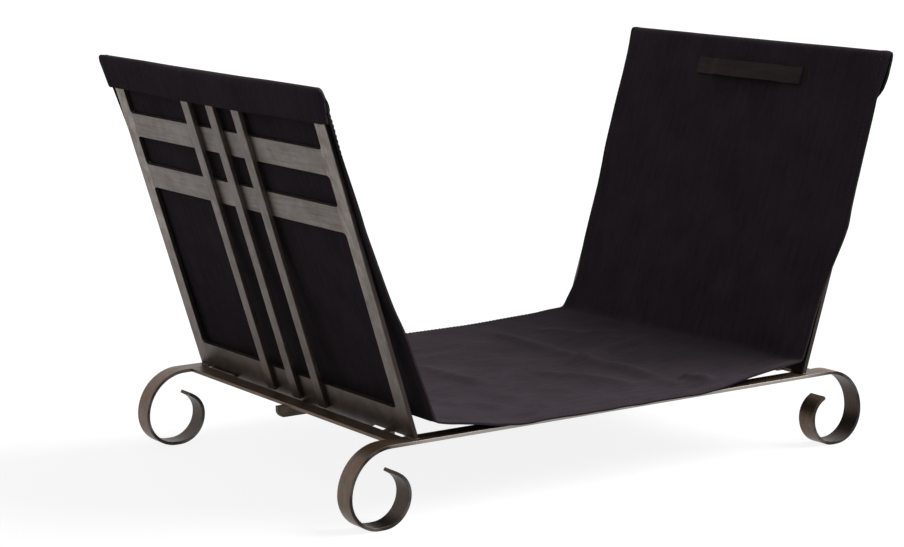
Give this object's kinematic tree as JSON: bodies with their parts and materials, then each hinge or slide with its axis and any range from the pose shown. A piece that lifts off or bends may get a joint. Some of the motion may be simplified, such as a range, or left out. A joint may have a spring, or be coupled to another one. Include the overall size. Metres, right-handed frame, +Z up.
{
  "type": "log holder",
  "caption": "Low flat-bar log holder on scroll feet with outward-leaning slatted end panels and a hanging cloth carrier that lifts off by its strap handles.",
  "frame": {"origin": "on the floor, under the middle of the holder", "axes": "+X along the length between the end panels, +Y to the rear, +Z up"},
  "size_m": [0.623, 0.37, 0.361],
  "materials": {
    "scroll_bar": "dark bronze patina, waxed",
    "panel_bar": "brushed graphite-bronze patina, waxed",
    "cloth": "matt black-brown heavy cloth",
    "strap": "matt black-brown folded and stitched cloth"
  },
  "bodies": {
    "frame": {"center_rail": "scroll_bar", "front_rail": "scroll_bar", "left_bottom_rail": "panel_bar", "left_cross_bar": "scroll_bar", "left_front_lug": "panel_bar", "left_front_slat": "panel_bar", "left_front_upright": "panel_bar", "left_lower_rail": "panel_bar", "left_middle_slat": "panel_bar", "left_rear_lug": "panel_bar", "left_rear_slat": "panel_bar", "left_rear_upright": "panel_bar", "left_top_rail": "panel_bar", "left_upper_rail": "panel_bar", "rear_rail": "scroll_bar", "right_bottom_rail": "panel_bar", "right_cross_bar": "scroll_bar", "right_front_lug": "panel_bar", "right_front_slat": "panel_bar", "right_front_upright": "panel_bar", "right_lower_rail": "panel_bar", "right_middle_slat": "panel_bar", "right_rear_lug": "panel_bar", "right_rear_slat": "panel_bar", "right_rear_upright": "panel_bar", "right_top_rail": "panel_bar", "right_upper_rail": "panel_bar"},
    "floor": {"carrier_floor": "cloth"},
    "left_end": {"left_handle": "strap", "left_wall": "cloth"},
    "right_end": {"right_handle": "strap", "right_wall": "cloth"}
  },
  "joints": [
    {"name": "carrier_lift", "type": "slide", "parent": "frame", "child": "floor", "axis": [0, 0, 1], "range_m": [0, 0.036]},
    {"name": "left_pocket_follow", "type": "slide", "parent": "floor", "child": "left_end", "axis": [-1, 0, 0], "range_m": [0, 0.0115]},
    {"name": "right_pocket_follow", "type": "slide", "parent": "floor", "child": "right_end", "axis": [1, 0, 0], "range_m": [0, 0.0115]}
  ],
  "couplings": [
    {"joint": "left_pocket_follow", "follows": "carrier_lift", "ratio": 0.3153},
    {"joint": "right_pocket_follow", "follows": "carrier_lift", "ratio": 0.3153}
  ]
}
